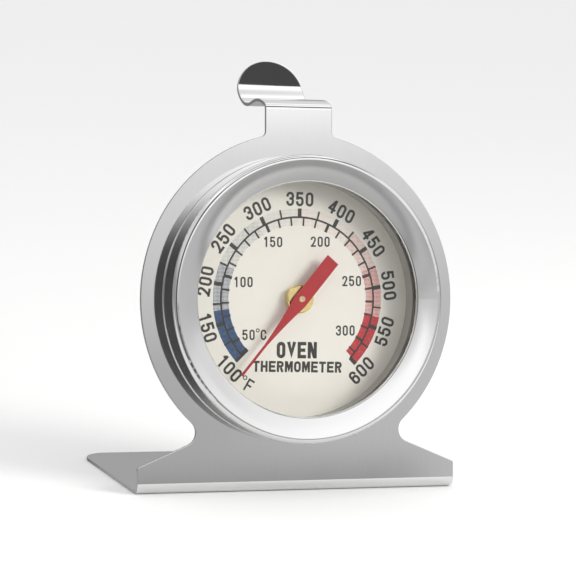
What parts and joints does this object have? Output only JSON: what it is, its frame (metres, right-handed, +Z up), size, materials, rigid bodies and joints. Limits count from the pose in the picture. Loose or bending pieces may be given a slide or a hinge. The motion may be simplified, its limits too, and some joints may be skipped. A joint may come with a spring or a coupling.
{
  "type": "oven thermometer",
  "caption": "Free-standing or hanging dial thermometer for an oven: a bent sheet stand with a rack tongue, a round glazed head and a bimetal-driven pointer.",
  "frame": {"origin": "middle of the whole object's footprint, on the surface that the foot stands on", "axes": "+Z up, the dial faces -Y and leans back, +X to the right as seen from the front"},
  "size_m": [0.062, 0.0384, 0.0762],
  "materials": {
    "stand_steel": "bright, nearly mirror-like stainless sheet with fine rolling marks",
    "bezel_steel": "polished spun stainless",
    "case_steel": "plain drawn stainless",
    "lens_glass": "clear flat glass",
    "gasket_fibre": "pale fibre ring",
    "spacer_finish": "grey-cream enamel, satin",
    "dial_enamel": "cream enamel, semi-matt",
    "ink_black": "printed enamel ink",
    "ink_blue": "printed enamel ink",
    "ink_red": "printed enamel ink",
    "movement_steel": "plain rolled steel",
    "bushing_brass": "turned brass",
    "bimetal_strip": "rolled bimetal strip, faintly straw-coloured",
    "spindle_brass": "turned brass",
    "pointer_red": "red enamel, satin"
  },
  "bodies": {
    "stand": {"stand_bracket": "stand_steel", "bezel_ring": "bezel_steel", "case_shell": "case_steel", "case_lock_ring": "case_steel", "glass_lens": "lens_glass", "lens_gasket": "gasket_fibre", "spacer_ring": "spacer_finish", "dial_plate": "dial_enamel", "movement_plate": "movement_steel", "front_bushing": "bushing_brass", "bushing_washer": "movement_steel", "rear_bearing": "bushing_brass", "bearing_washer": "movement_steel", "anchor_post": "bushing_brass", "bimetal_coil": "bimetal_strip"},
    "pointer_group": {"spindle": "spindle_brass", "pointer": "pointer_red", "pointer_hub": "spindle_brass", "thrust_collar": "spindle_brass", "coil_collet": "spindle_brass"}
  },
  "joints": [
    {"name": "pointer_turn", "type": "hinge", "parent": "stand", "child": "pointer_group", "pos_m": [0, -0.00958, 0.03478], "axis": [0, 0.9881, -0.1538], "range_deg": [-32, 280], "stiffness_Nm_per_rad": 0.001, "deforming": ["bimetal_coil"]}
  ]
}
